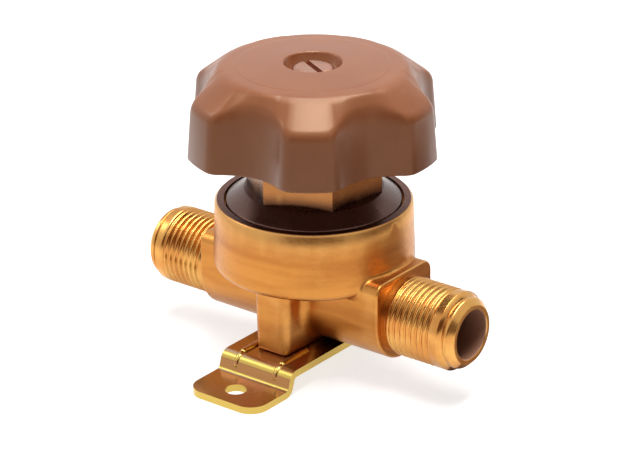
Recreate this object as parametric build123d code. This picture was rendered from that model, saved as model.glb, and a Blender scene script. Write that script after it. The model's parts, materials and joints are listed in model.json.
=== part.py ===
from build123d import *
import os
from math import acos, cos, degrees, radians, sin, tan

# Diaphragm hand shut-off valve for refrigerant lines, with two male flare ends.
# Millimetres. X runs along the flow, Y along the foot bracket, Z up; the bracket's tabs stand on Z = 0
# and the spindle turns about the Z axis. The valve is drawn fully open.

# ---- flow line and flare ends ----
axis_height = 20.3          # flow axis above the mounting surface
end_reach = 53.4            # valve centre to the tip of each flare end
thread_radius = 11.1125     # 7/8-14 UNF male flare thread, major radius
thread_setback = 4.2        # tip to the start of the thread's end chamfer
nose_radius = 9.95          # plain nose ahead of the thread
nose_length = 3.1           # tip to the foot of the thread's end chamfer
nose_step = 0.25            # small shoulder between that chamfer and the nose
seat_depth = 1.7            # length of the 45 degree flare seat
nose_round = 0.5
tip_bevel = 0.25
bore_radius = 6.88          # port bore
bore_lip = 0.35             # chamfer inside the bore's mouth

# ---- forged body ----
run_half_width = 12.6       # square shouldered end blocks
run_top_rise = 12.2         # flow axis to the blocks' flat top
run_reach = 30.9            # valve centre to the blocks' end faces
run_corner = 3.4            # rounded top corners of the blocks
run_end_round = 0.6
cup_rim_radius = 27.4
cup_foot_radius = 28.15     # forging draft makes the cup wider below
cup_foot_rise = 7.3         # flow axis to the cup's underside
cup_corner = 2.4
rim_chamfer = 0.7
foot_half_width = 5.5       # cast foot that carries the bracket, across the flow
foot_half_length = 20.0
foot_draft = 1.5            # degrees
foot_corner = 2.2
foot_edge_round = 1.2       # lower edge of the foot
foot_blend = 2.6            # foot into the body
cup_blend = 1.2             # cup's underside into the block

# ---- chamber, seat and passages ----
chamber_radius = 18.0
chamber_depth = 8.15        # chamber floor to the diaphragms' ledge
floor_wall = 2.32           # metal between the port bores and the chamber
seat_bore_radius = 6.2
seat_radius = 9.0
seat_height = 2.4           # seat lip above the chamber floor
seat_bore_sink = 4.0        # the seat bore is drilled this far past the flow axis
inlet_drill_end = 2.0       # full width of the inlet drilling ends here
passage_wall = 2.8          # metal between the seat bore and the tip of the outlet drilling
drill_point = 59.0          # degrees, half the drill's point angle
outlet_margin = 0.3         # the outlet drilling stays this far inside the chamber's ring floor

# ---- diaphragms and clamp ring ----
clamp_radius = 22.2
diaphragm_thickness = 0.25
diaphragm_gap = 0.02
diaphragm_rise = 1.5        # crown above the rim, valve open
diaphragm_flat = 11.0       # radius of the flat crown
diaphragm_margin = 0.6      # the crown starts to rise this far inside the ring
ring_thickness = 1.6
ring_inner_radius = 18.4
ring_edge_bevel = 0.4

# ---- bonnet ----
flange_radius = 24.3
flange_thickness = 2.1
flange_round = 0.7
flange_drop = 0.15          # flange top below the cup rim
flange_gap = 0.55           # open groove round the flange
skirt_radius = 22.5         # M45 thread into the cup
skirt_length = 4.91
skirt_wall = 3.6
hex_corner_radius = 19.3
hex_height = 12.95          # above the flange's edge
hex_foot_rise = 3.4         # the flange slopes up to the hexagon's foot
hex_turn = -37.25           # degrees, one corner's direction from +X
hex_face_inset = 0.4        # the turned top face lies this far inside the flats
support_gap = 0.3           # bonnet's support face above the open diaphragms
guide_fit = 0.15            # radial gap of the thrust pad in its guide bore
guide_room = 2.64           # guide bore above the pad, valve open
guide_bevel = 0.8
thread_fit = 0.05           # radial gap of each fixed thread
run_fit = 0.05              # radial gap of each moving fit

# ---- spindle, seals and thrust train ----
spindle_thread_radius = 6.0   # M12 x 1.5
spindle_neck_radius = 5.15
stop_wall = 2.0               # bonnet metal between the seal pocket and the spindle thread
stop_gap = 0.1                # the spindle thread stops just under that wall when open
spindle_lead = 0.8            # chamfer where the spindle thread starts
neck_lead = 0.5
square_flats = 8.0
ball_radius = 2.5
ball_pocket_depth = 1.1       # in the thrust pad
ball_socket_depth = 1.28      # in the spindle's end
pad_radius = 9.0
pad_thickness = 2.8
pad_foot_round = 1.0
pad_head_bevel = 0.5
o_ring_wire = 2.0
o_ring_squeeze_gap = 0.02
gland_thickness = 1.4
gland_radius = 9.0

# ---- plunger, seat disc and return spring ----
valve_lift = 3.0            # two turns of the 1.5 mm thread
plunger_radius = 14.4
plunger_flange = 1.9
plunger_crown = 10.6        # flat top; outside it the flange falls away under the domed diaphragm
plunger_fall = 0.95
holder_radius = 10.2
disc_radius = 8.6
disc_thickness = 2.0
disc_stand_out = 0.5        # the disc stands below its crimped lip
disc_bevel = 0.25
holder_bevel = 0.4
plunger_bevel = 0.25
spring_wire = 1.5
spring_mean_radius = 12.3
spring_turns = 3
spring_sides = 8            # the wire is drawn as a prism
spring_seat_thickness = 0.6
spring_seat_margin = 0.6    # the seat ring is this much wider than the wire on each side
seat_gap = 0.02             # pieces that only rest on each other

# ---- handwheel ----
wheel_lift = 2.9            # skirt's lower edge above the hexagon
wheel_height = 23.8         # lower edge to the rim of the central recess
lobes = 6
lobe_turn = 6.1             # degrees, one lobe's direction from +X
crest_radius = 36.1
lobe_depth = 5.7            # crest to the bottom of a scallop, at the skirt's lower edge
corner_radius = 5.0         # lobe corners
scallop_radius = 17.5
wheel_draft = 4.6           # degrees
wheel_wall = 2.7
top_fall = 0.7              # crown of the top
shoulder_overhang = 0.8     # the shoulder cone comes down this far outside the crest
shoulder_run = 7.7
shoulder_fall = 8.6
wheel_edge_round = 3.0
skirt_edge_round = 0.9
recess_radius = 7.83
recess_depth = 6.6
hub_radius = 10.0
hub_lift = 4.0              # hub's end above the hexagon
hub_web = 3.0               # plastic left between the recess and the square socket
rib_thickness = 2.0
rib_lift = 10.1             # ribs' lower edge above the skirt's
rib_overlap = 1.0           # each rib runs this far into the hub

# ---- fasteners ----
wheel_screw_radius = 3.0    # M6 slotted pan head
wheel_screw_length = 16.0
wheel_screw_head_radius = 6.0
wheel_screw_head_height = 3.6
slot_width = 1.6
slot_depth = 1.5
slot_turn = -28.0           # degrees from +X
washer_thickness = 1.6
washer_radius = 6.2
bracket_screw_radius = 2.0  # M4 pan head, up into the foot
bracket_screw_head_radius = 4.0
bracket_screw_head_height = 2.6
bracket_screw_reach = 6.5   # into the foot
bracket_screw_spread = 13.0 # each screw from the valve centre
lock_washer_thickness = 1.0
lock_washer_radius = 3.8
lock_washer_split = 0.6
hole_fit = 0.25             # radial gap round each screw
tapping_spare = 1.5         # each tapped hole is this much deeper than its screw
head_round = 1.5

# ---- foot bracket ----
strip_width = 24.3
strip_thickness = 2.05
strip_half_length = 42.45
platform_top = 7.0
platform_half_length = 26.15
riser_lean = 1.65           # how far the riser leans outward
bend_inner = 1.2
tab_corner = 5.4
mount_hole_radius = 3.05
mount_hole_inset = 7.12     # each mounting hole from the strip's end
rib_bead_radius = 1.15
rib_bead_rise = 0.8
rib_bead_length = 12.5
bead_gap = 0.15             # each bead stands this far off the foot
cut_over = 1.0              # a cutter runs this far past the metal

# ---- sizes that follow ----
thread_runout_x = end_reach - thread_setback
nose_start_x = end_reach - nose_length
nose_rim_x = end_reach - seat_depth
cup_foot = axis_height + cup_foot_rise
chamber_floor = axis_height + bore_radius + floor_wall
outlet_drill_x = -(chamber_radius + seat_radius) / 2
outlet_drill_radius = (chamber_radius - seat_radius) / 2 - outlet_margin
seat_top = chamber_floor + seat_height
ledge_height = chamber_floor + chamber_depth
stack_thickness = 3 * diaphragm_thickness + 2 * diaphragm_gap
ring_top = ledge_height + stack_thickness + ring_thickness
flange_under = ring_top + skirt_length
flange_top = flange_under + flange_thickness
cup_top = flange_top + flange_drop
hex_foot = flange_top + hex_foot_rise
hex_top = flange_top + hex_height
disc_under = seat_top + valve_lift
plunger_top = ledge_height + diaphragm_rise - seat_gap
plunger_under = plunger_top - plunger_flange
pad_under = ledge_height + diaphragm_rise + stack_thickness + seat_gap
pad_top = pad_under + pad_thickness
support_height = ledge_height + diaphragm_rise + stack_thickness + support_gap
guide_top = pad_top + guide_room
ball_height = pad_top - ball_pocket_depth + seat_gap + ball_radius
spindle_end = ball_height + ball_radius - ball_socket_depth
wheel_foot = hex_top + wheel_lift
wheel_top = wheel_foot + wheel_height
hub_foot = hex_top + hub_lift
rib_foot = wheel_foot + rib_lift
valley_radius = crest_radius - lobe_depth
shoulder_radius = crest_radius + shoulder_overhang
top_flat_radius = shoulder_radius - shoulder_run
recess_floor = wheel_top - recess_depth
socket_top = recess_floor - hub_web
spindle_top = socket_top - seat_gap
wheel_screw_under = recess_floor + washer_thickness
mount_hole_spread = strip_half_length - mount_hole_inset
platform_under = platform_top - strip_thickness
bracket_screw_under = platform_under - lock_washer_thickness
gland_foot = hex_top - gland_thickness
seal_foot = gland_foot - o_ring_wire - 2 * o_ring_squeeze_gap
bonnet_stop = seal_foot - stop_wall
neck_shoulder = bonnet_stop - stop_gap


def polar(radius, angle, height=0):
    return Vector(radius * cos(radians(angle)), radius * sin(radians(angle)), height)


def worked(face, corners, operation):
    # rounds or bevels the named corners of a flat outline
    for x, y, size in corners:
        corner = face.vertices().sort_by_distance((x, y, 0))[0]
        face = operation(corner, size)
    return face


def turned(points, rounds=(), bevels=()):
    # a profile of (radius, height) points turned about the spindle axis
    face = make_face(Polyline(*points, close=True))
    face = worked(worked(face, rounds, fillet), bevels, chamfer)
    return revolve(Plane.XZ * face, Axis.Z)


def ring(outer, inner, low, high):
    return turned([(inner, low), (outer, low), (outer, high), (inner, high)])


def rod(radius, low, high):
    return Pos(0, 0, low) * Cylinder(radius, high - low, align=(Align.CENTER, Align.CENTER, Align.MIN))


# ---- body ----
def flare_end():
    # one threaded end with its 45 degree seat, turned about the flow axis towards +X
    tip_radius = nose_radius - (end_reach - nose_rim_x)
    points = [
        (0, 0),
        (0, thread_radius),
        (thread_runout_x, thread_radius),
        (nose_start_x, nose_radius - nose_step),
        (nose_start_x + nose_step, nose_radius),
        (nose_rim_x, nose_radius),
        (end_reach, tip_radius),
        (end_reach, 0),
    ]
    profile = make_face(Polyline(*points, close=True))
    profile = worked(profile, [(nose_rim_x, nose_radius, nose_round)], fillet)
    profile = worked(profile, [(end_reach, tip_radius, tip_bevel)], chamfer)
    return Pos(0, 0, axis_height) * revolve(Plane.XZ * profile, Axis.X)


def run_block():
    # flat topped, round bottomed block between the two flare ends
    half = run_half_width
    arch = ThreePointArc((-half, 0), (0, -half), (half, 0))
    square = Polyline((half, 0), (half, run_top_rise), (-half, run_top_rise), (-half, 0))
    top_corners = [(half, run_top_rise, run_corner), (-half, run_top_rise, run_corner)]
    section = worked(make_face([arch] + square.edges()), top_corners, fillet)
    plane = Plane(origin=(-run_reach, 0, axis_height), x_dir=(0, 1, 0), z_dir=(1, 0, 0))
    block = extrude(plane * section, 2 * run_reach)
    return fillet(block.edges().filter_by(Plane.YZ), run_end_round)


def cup():
    # round cup that takes the bonnet, with forging draft and a rounded lower corner
    return turned(
        [(0, cup_foot), (cup_foot_radius, cup_foot), (cup_rim_radius, cup_top), (0, cup_top)],
        [(cup_foot_radius, cup_foot, cup_corner)],
    )


def foot():
    # drafted foot under the body, wider towards the top
    height = cup_foot + cup_corner - platform_top
    outline = RectangleRounded(2 * foot_half_width, 2 * foot_half_length, foot_corner)
    block = extrude(outline, height, taper=-foot_draft)
    block = fillet(block.edges().group_by(Axis.Z)[0], foot_edge_round)
    return Pos(0, 0, platform_top) * block


def joins_foot(edge):
    # where the foot runs into the block above it and into the cup's underside
    box = edge.bounding_box()
    reach = foot_half_width + foot_blend
    beside = box.min.X > -reach and box.max.X < reach
    level = box.max.Z > platform_top + foot_edge_round + cut_over and box.max.Z < cup_foot + seat_gap
    return beside and level and edge.geom_type != GeomType.BEZIER


def joins_cup(edge):
    # straight edges where the cup's flat underside meets the block's sides
    box = edge.bounding_box()
    level = abs(box.min.Z - cup_foot) < seat_gap and box.size.Z < seat_gap
    return level and box.size.Y < seat_gap and box.size.X > foot_half_width


def forging():
    # hot stamped blank: block, cup and foot, blended where they meet
    blank = run_block() + cup() + foot()
    blank = fillet(blank.edges().filter_by(joins_foot), foot_blend)
    return fillet(blank.edges().filter_by(joins_cup), cup_blend)


def port_drilling(full_width_end):
    # blind port bore from the +X end, with the conical bottom that the drill leaves
    tip = full_width_end - bore_radius / tan(radians(drill_point))
    corners = [(tip, 0), (full_width_end, bore_radius), (end_reach, bore_radius), (end_reach, 0)]
    outline = make_face(Polyline(*corners, close=True))
    return Pos(0, 0, axis_height) * revolve(Plane.XZ * outline, Axis.X)


def seat_and_passages():
    # everything drilled or turned out of the forging
    inlet = port_drilling(inlet_drill_end)
    outlet_tip = seat_bore_radius + passage_wall
    outlet = Rot(0, 0, 180) * port_drilling(outlet_tip + bore_radius / tan(radians(drill_point)))
    seat_bore = rod(seat_bore_radius, axis_height - seat_bore_sink, seat_top)
    drilling = Pos(outlet_drill_x, 0, 0) * rod(outlet_drill_radius, axis_height, chamber_floor)
    chamber = ring(chamber_radius, seat_radius, chamber_floor, ledge_height)
    above_seat = rod(seat_radius, seat_top, ledge_height)
    ledge = rod(clamp_radius + thread_fit, ledge_height, ring_top)
    thread = rod(skirt_radius + thread_fit, ring_top, flange_under)
    counterbore = rod(flange_radius + flange_gap, flange_under, cup_top)
    return inlet + outlet + seat_bore + drilling + chamber + above_seat + ledge + thread + counterbore


def mouth_chamfer(face_x):
    # break of the sharp edge inside a port's mouth
    outward = 1 if face_x > 0 else -1
    points = [
        (face_x - outward * bore_lip, 0),
        (face_x - outward * bore_lip, bore_radius),
        (face_x, bore_radius + bore_lip),
        (face_x, 0),
    ]
    cone = revolve(Plane.XZ * make_face(Polyline(*points, close=True)), Axis.X)
    return Pos(0, 0, axis_height) * cone


def bracket_screw_places():
    return [Pos(0, side * bracket_screw_spread, 0) for side in (-1, 1)]


def valve_body():
    rim = turned([
        (cup_rim_radius - rim_chamfer, cup_top),
        (cup_rim_radius + cut_over, cup_top),
        (cup_rim_radius + cut_over, cup_top - rim_chamfer - cut_over),
    ])
    end = flare_end()
    solid = forging() + end + Rot(0, 0, 180) * end - rim - seat_and_passages()
    solid -= mouth_chamfer(end_reach) + mouth_chamfer(-end_reach)
    tapping_depth = bracket_screw_reach + tapping_spare
    tapping = rod(bracket_screw_radius + thread_fit, platform_top, platform_top + tapping_depth)
    for place in bracket_screw_places():
        solid -= place * tapping
    return solid


# ---- bonnet and diaphragm clamp ----
def bonnet():
    flange = turned(
        [
            (0, flange_under),
            (flange_radius, flange_under),
            (flange_radius, flange_top),
            (hex_corner_radius, hex_foot),
            (0, hex_foot),
        ],
        [(flange_radius, flange_top, flange_round)],
    )
    skirt = rod(skirt_radius, ring_top + seat_gap, flange_under)
    hexagon = extrude(Pos(0, 0, hex_foot) * RegularPolygon(hex_corner_radius, 6, rotation=hex_turn),
                      hex_top - hex_foot)
    face_radius = hex_corner_radius * cos(radians(30)) - hex_face_inset
    outside = hex_corner_radius + cut_over
    guide_radius = pad_radius + guide_fit
    crown = turned([
        (0, hex_foot),
        (outside, hex_foot),
        (outside, hex_top - (outside - face_radius) * tan(radians(30))),
        (face_radius, hex_top),
        (0, hex_top),
    ])
    inside = turned([
        (0, ring_top),
        (skirt_radius - skirt_wall, ring_top),
        (skirt_radius - skirt_wall, support_height),
        (guide_radius, support_height),
        (guide_radius, guide_top - guide_bevel),
        (guide_radius - guide_bevel, guide_top),
        (0, guide_top),
    ])
    thread = rod(spindle_thread_radius + run_fit, guide_top, bonnet_stop)
    neck = rod(spindle_neck_radius + run_fit, bonnet_stop, hex_top)
    seal_pocket = rod(spindle_neck_radius + run_fit + o_ring_wire, seal_foot, gland_foot)
    gland_pocket = rod(gland_radius + thread_fit, gland_foot, hex_top)
    return flange + skirt + (hexagon & crown) - inside - thread - neck - seal_pocket - gland_pocket


def clamp_ring():
    low = ring_top - ring_thickness
    inner, outer = ring_inner_radius, clamp_radius
    return turned(
        [(inner, low), (outer, low), (outer, ring_top), (inner, ring_top)],
        bevels=[(inner, low, ring_edge_bevel)],
    )


def diaphragm(index):
    # thin domed steel disc, clamped at its rim and crowned by the open valve
    low = ledge_height + index * (diaphragm_thickness + diaphragm_gap)
    rise = diaphragm_rise
    foot_radius = ring_inner_radius - diaphragm_margin
    under = [(0, low + rise), (diaphragm_flat, low + rise), (foot_radius, low), (clamp_radius, low)]
    over = [(radius, height + diaphragm_thickness) for radius, height in reversed(under)]
    return turned(under + over)


# ---- spindle and thrust train ----
def spindle():
    thread = turned([
        (0, spindle_end),
        (spindle_thread_radius - spindle_lead, spindle_end),
        (spindle_thread_radius, spindle_end + spindle_lead),
        (spindle_thread_radius, neck_shoulder - neck_lead),
        (spindle_neck_radius, neck_shoulder),
        (0, neck_shoulder),
    ])
    neck = rod(spindle_neck_radius, neck_shoulder, hub_foot - seat_gap)
    key = square_key(0, hub_foot - seat_gap, spindle_top)
    tapping_foot = wheel_screw_under - wheel_screw_length - tapping_spare
    tapping = rod(wheel_screw_radius + thread_fit, tapping_foot, spindle_top)
    pocket = Pos(0, 0, ball_height) * Sphere(ball_radius + run_fit)
    return thread + neck + key - tapping - pocket


def spindle_o_ring():
    radius = spindle_neck_radius + run_fit + o_ring_wire / 2
    height = gland_foot - o_ring_squeeze_gap - o_ring_wire / 2
    return Pos(0, 0, height) * Torus(radius, o_ring_wire / 2 - o_ring_squeeze_gap)


def gland_ring():
    return ring(gland_radius, spindle_neck_radius + run_fit, gland_foot, hex_top)


def thrust_ball():
    return Pos(0, 0, ball_height) * Sphere(ball_radius)


def thrust_pad():
    pad = turned(
        [(0, pad_under), (pad_radius, pad_under), (pad_radius, pad_top), (0, pad_top)],
        rounds=[(pad_radius, pad_under, pad_foot_round)],
        bevels=[(pad_radius, pad_top, pad_head_bevel)],
    )
    return pad - Pos(0, 0, ball_height) * Sphere(ball_radius + seat_gap)


# ---- plunger ----
def plunger():
    lip = disc_under + disc_stand_out
    rim = plunger_top - plunger_fall
    outline = turned(
        [
            (0, lip),
            (holder_radius, lip),
            (holder_radius, plunger_under),
            (plunger_radius, plunger_under),
            (plunger_radius, rim),
            (plunger_crown, plunger_top),
            (0, plunger_top),
        ],
        bevels=[(holder_radius, lip, holder_bevel), (plunger_radius, rim, plunger_bevel)],
    )
    return outline - rod(disc_radius + thread_fit, lip, disc_under + disc_thickness)


def seat_disc():
    return turned(
        [
            (0, disc_under),
            (disc_radius, disc_under),
            (disc_radius, disc_under + disc_thickness),
            (0, disc_under + disc_thickness),
        ],
        bevels=[(disc_radius, disc_under, disc_bevel)],
    )


def spring_seat():
    half = spring_wire / 2 + spring_seat_margin
    low = chamber_floor
    return ring(spring_mean_radius + half, spring_mean_radius - half, low, low + spring_seat_thickness)


def return_spring():
    # open wound compression spring between its seat ring and the plunger's flange
    low = chamber_floor + spring_seat_thickness + spring_wire / 2 + seat_gap
    high = plunger_under - spring_wire / 2 - seat_gap
    pitch = (high - low) / spring_turns
    coil = Helix(pitch, high - low, spring_mean_radius)
    wire = RegularPolygon(spring_wire / 2, spring_sides)
    section = Plane(origin=coil @ 0, z_dir=coil % 0) * wire
    return Pos(0, 0, low) * sweep(section, coil, is_frenet=True)


# ---- handwheel ----
def lobed_outline(inset, height):
    # closed scalloped outline; every arc keeps its centre, so the wall stays parallel
    step = 360 / lobes
    corner_reach = crest_radius - corner_radius
    valley_reach = valley_radius + scallop_radius
    joined = corner_radius + scallop_radius
    part = (corner_reach ** 2 + valley_reach ** 2 - joined ** 2) / (2 * corner_reach * valley_reach)
    corner_angle = step / 2 - degrees(acos(part))
    crest = crest_radius - inset
    corner = corner_radius - inset
    edges = []
    for index in range(lobes):
        middle = lobe_turn + index * step
        before = polar(corner_reach, middle - corner_angle)
        after = polar(corner_reach, middle + corner_angle)
        valley = polar(valley_reach, middle + step / 2)
        valley_before = polar(valley_reach, middle - step / 2)
        crest_start = polar(crest, middle - corner_angle)
        crest_end = polar(crest, middle + corner_angle)
        to_valley = (valley - after).normalized()
        to_valley_before = (valley_before - before).normalized()
        corner_end = after + to_valley * corner
        corner_start = before + to_valley_before * corner
        after_middle = after + (to_valley + after.normalized()).normalized() * corner
        before_middle = before + (to_valley_before + before.normalized()).normalized() * corner
        next_before = polar(corner_reach, middle + step - corner_angle)
        valley_end = next_before + (valley - next_before).normalized() * corner
        edges.append(ThreePointArc(corner_start, before_middle, crest_start))
        edges.append(ThreePointArc(crest_start, polar(crest, middle), crest_end))
        edges.append(ThreePointArc(crest_end, after_middle, corner_end))
        edges.append(ThreePointArc(corner_end, polar(valley_radius - inset, middle + step / 2), valley_end))
    return Pos(0, 0, height) * make_face(edges)


def lobed_block(inset, low, high):
    # drafted lobed block, narrower upwards
    slope = tan(radians(wheel_draft))
    return loft([
        lobed_outline(inset + (low - wheel_foot) * slope, low),
        lobed_outline(inset + (high - wheel_foot) * slope, high),
    ], ruled=True)


def crown_limit(drop, low):
    # crowned top and sloping shoulder, lowered by drop for the inside
    slope = shoulder_fall / (shoulder_radius - top_flat_radius)
    outside = shoulder_radius + cut_over
    shoulder = wheel_top - top_fall - drop
    return turned([
        (0, low),
        (outside, low),
        (outside, shoulder - (outside - top_flat_radius) * slope),
        (top_flat_radius, shoulder),
        (recess_radius, wheel_top - drop),
        (0, wheel_top - drop),
    ])


def axis_distance(edge):
    middle = edge.center()
    return (middle.X ** 2 + middle.Y ** 2) ** 0.5


def wheel_blank():
    # solid lobed wheel with every upper edge softened
    blank = lobed_block(0, wheel_foot, wheel_top) & crown_limit(0, wheel_foot)
    middle = (recess_radius + top_flat_radius) / 2
    upper = blank.edges().filter_by(lambda edge: edge.bounding_box().min.Z > wheel_foot + skirt_edge_round)
    blank = fillet(upper.filter_by(lambda edge: axis_distance(edge) > middle), wheel_edge_round)
    lower = blank.edges().filter_by(lambda edge: edge.bounding_box().max.Z < wheel_foot + seat_gap)
    return fillet(lower, skirt_edge_round)


def wheel_rib(index):
    # radial stiffener under the top, from the hub to the bottom of a scallop
    reach = crest_radius - hub_radius
    box = Box(reach, rib_thickness, wheel_top - rib_foot, align=(Align.MIN, Align.CENTER, Align.MIN))
    direction = lobe_turn + (index + 0.5) * 360 / lobes
    return Rot(0, 0, direction) * Pos(hub_radius - rib_overlap, 0, rib_foot) * box


def square_key(fit, low, high):
    # square with turned corners
    side = square_flats + 2 * fit
    square = Pos(0, 0, low) * Box(side, side, high - low, align=(Align.CENTER, Align.CENTER, Align.MIN))
    return Rot(0, 0, lobe_turn) * (square & rod(spindle_neck_radius + fit, low, high))


def handwheel():
    hollow = lobed_block(wheel_wall, wheel_foot, wheel_top) & crown_limit(wheel_wall, wheel_foot)
    hollow -= rod(hub_radius, hub_foot, wheel_top)
    for index in range(lobes):
        hollow -= wheel_rib(index)
    recess = rod(recess_radius, recess_floor, wheel_top)
    screw_hole = rod(wheel_screw_radius + hole_fit, socket_top, recess_floor)
    wheel = wheel_blank() - hollow - recess - screw_hole
    return wheel - square_key(run_fit, hub_foot, socket_top)


# ---- fasteners ----
def pan_head(radius, height, under):
    return turned(
        [(0, under), (radius, under), (radius, under + height), (0, under + height)],
        [(radius, under + height, head_round)],
    )


def screw_slot(radius, top):
    slot = Box(2 * radius, slot_width, slot_depth, align=(Align.CENTER, Align.CENTER, Align.MAX))
    return Pos(0, 0, top) * slot


def wheel_screw():
    head = pan_head(wheel_screw_head_radius, wheel_screw_head_height, wheel_screw_under)
    slot = screw_slot(wheel_screw_head_radius, wheel_screw_under + wheel_screw_head_height)
    shank = rod(wheel_screw_radius, wheel_screw_under - wheel_screw_length, wheel_screw_under)
    return head - Rot(0, 0, slot_turn) * slot + shank


def wheel_washer():
    return ring(washer_radius, wheel_screw_radius + hole_fit, recess_floor, wheel_screw_under)


def bracket_screws():
    # two screws, driven upwards from under the bracket's platform
    length = platform_top + bracket_screw_reach - bracket_screw_under
    head = pan_head(bracket_screw_head_radius, bracket_screw_head_height, 0)
    slot = screw_slot(bracket_screw_head_radius, bracket_screw_head_height)
    screw = head - slot + rod(bracket_screw_radius, -length, 0)
    upturned = Pos(0, 0, bracket_screw_under) * Rot(180, 0, 0) * screw
    return Compound([place * upturned for place in bracket_screw_places()])


def bracket_lock_washers():
    # split spring washers under the screw heads
    washer = ring(lock_washer_radius, bracket_screw_radius + hole_fit, bracket_screw_under, platform_under)
    reach = 2 * (lock_washer_radius - bracket_screw_radius)
    cutter = Box(reach, lock_washer_split, 3 * lock_washer_thickness)
    gap = Pos(lock_washer_radius, 0, platform_under) * cutter
    return Compound([place * (washer - gap) for place in bracket_screw_places()])


# ---- foot bracket ----
def strip_profile():
    # side view of the folded strip: tabs, risers and platform
    bend_y = platform_half_length + riser_lean
    rise = platform_top - strip_thickness
    slant = (rise ** 2 + riser_lean ** 2) ** 0.5 / rise * strip_thickness
    lean = riser_lean / rise
    under_bend_y = bend_y - slant + strip_thickness * lean
    under_platform_y = platform_half_length - slant + strip_thickness * lean
    half = [
        (0, platform_top),
        (platform_half_length, platform_top),
        (bend_y, strip_thickness),
        (strip_half_length, strip_thickness),
        (strip_half_length, 0),
        (under_bend_y, 0),
        (under_platform_y, platform_under),
        (0, platform_under),
    ]
    bends = [
        (platform_half_length, platform_top, bend_inner + strip_thickness),
        (bend_y, strip_thickness, bend_inner),
        (under_bend_y, 0, bend_inner + strip_thickness),
        (under_platform_y, platform_under, bend_inner),
    ]
    return worked(make_face(Polyline(*half, close=True)), bends, fillet)


def rib_bead(height):
    # half round pressed rib, lying along Y from its outer end
    depth = height + rib_bead_rise - rib_bead_radius
    outer_end = platform_half_length - bend_inner - rib_bead_radius / 2
    line = Pos(0, outer_end - rib_bead_length / 2, depth) * Rot(90, 0, 0)
    bar = line * Cylinder(rib_bead_radius, rib_bead_length - 2 * rib_bead_radius)
    for end in (outer_end - rib_bead_radius, outer_end - rib_bead_length + rib_bead_radius):
        bar += Pos(0, end, depth) * Sphere(rib_bead_radius)
    return bar


def bracket():
    half = extrude(Plane.YZ * strip_profile(), strip_width / 2, both=True)
    corners = half.edges().filter_by(Axis.Z).group_by(Axis.Y)[-1]
    half = fillet(corners, tab_corner)
    for side in (-1, 1):
        place = Pos(side * (foot_half_width + rib_bead_radius + bead_gap), 0, 0)
        half += place * rib_bead(platform_top)
        half -= place * rib_bead(platform_under)
    half -= Pos(0, mount_hole_spread, 0) * rod(mount_hole_radius, 0, strip_thickness)
    screw_hole = rod(bracket_screw_radius + hole_fit, platform_under, platform_top)
    half -= Pos(0, bracket_screw_spread, 0) * screw_hole
    return half + Rot(0, 0, 180) * half


def write_parts():
    pieces = {
        "valve_body": valve_body(),
        "bonnet": bonnet(),
        "clamp_ring": clamp_ring(),
        "lower_diaphragm": diaphragm(0),
        "middle_diaphragm": diaphragm(1),
        "upper_diaphragm": diaphragm(2),
        "spindle": spindle(),
        "spindle_o_ring": spindle_o_ring(),
        "gland_ring": gland_ring(),
        "thrust_ball": thrust_ball(),
        "thrust_pad": thrust_pad(),
        "plunger": plunger(),
        "seat_disc": seat_disc(),
        "spring_seat": spring_seat(),
        "return_spring": return_spring(),
        "handwheel": handwheel(),
        "wheel_screw": wheel_screw(),
        "wheel_washer": wheel_washer(),
        "bracket": bracket(),
        "bracket_screws": bracket_screws(),
        "bracket_lock_washers": bracket_lock_washers(),
    }
    os.makedirs("parts", exist_ok=True)
    for name, piece in pieces.items():
        export_step(piece, f"parts/{name}.step")


write_parts()
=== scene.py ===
import bpy
import bmesh
import json
import math
from mathutils import Matrix, Vector


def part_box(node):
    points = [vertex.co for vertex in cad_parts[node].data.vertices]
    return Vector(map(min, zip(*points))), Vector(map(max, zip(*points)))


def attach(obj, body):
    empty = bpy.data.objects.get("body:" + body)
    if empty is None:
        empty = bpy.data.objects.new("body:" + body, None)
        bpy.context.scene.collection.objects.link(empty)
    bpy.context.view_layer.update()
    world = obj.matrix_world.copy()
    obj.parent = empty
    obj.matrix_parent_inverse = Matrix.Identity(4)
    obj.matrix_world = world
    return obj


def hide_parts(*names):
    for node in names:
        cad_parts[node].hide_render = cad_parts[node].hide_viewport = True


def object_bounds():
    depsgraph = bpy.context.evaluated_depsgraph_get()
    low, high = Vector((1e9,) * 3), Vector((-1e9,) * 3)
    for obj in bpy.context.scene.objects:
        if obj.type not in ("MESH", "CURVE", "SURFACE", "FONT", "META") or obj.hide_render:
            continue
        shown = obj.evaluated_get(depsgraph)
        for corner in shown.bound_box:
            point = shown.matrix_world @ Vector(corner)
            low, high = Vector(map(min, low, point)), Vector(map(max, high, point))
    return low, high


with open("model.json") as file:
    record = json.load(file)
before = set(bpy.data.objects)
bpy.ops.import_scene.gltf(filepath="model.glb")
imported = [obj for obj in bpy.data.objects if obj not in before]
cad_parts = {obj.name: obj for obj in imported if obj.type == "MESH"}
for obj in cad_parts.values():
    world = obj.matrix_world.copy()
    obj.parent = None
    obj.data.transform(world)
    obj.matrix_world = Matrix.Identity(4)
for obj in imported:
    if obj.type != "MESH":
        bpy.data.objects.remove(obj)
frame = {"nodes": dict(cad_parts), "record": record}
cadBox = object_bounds()
nodes = frame["nodes"]
mounts = {mount["name"]: mount for mount in frame["record"]["mounts"]}
mm = 0.001

# what a user would change about the picture as a whole, in metres and degrees
studio = {
    "azimuth": 37.82,           # degrees round from looking along +Y
    "elevation": 23.44,
    "roll": -0.435,
    "distance": 0.8012,
    "focalLength": 161.66,      # in millimetres, on a 36 mm sensor
    "aimRight": 0.00159,        # the camera aims beside and above the flow line's centre
    "aimUp": 0.01637,
    "aimHeight": 0.0203,
    "floorSize": 6.0,
    "floorColour": (0.48, 0.48, 0.48),
    "floorGlow": 0.72,          # what the camera and the metal see on top of the floor's own light
    "worldColour": (1.0, 1.0, 1.0),
    "worldStrength": 0.22,      # what the walls of the studio give, apart from the lamps
}


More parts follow.
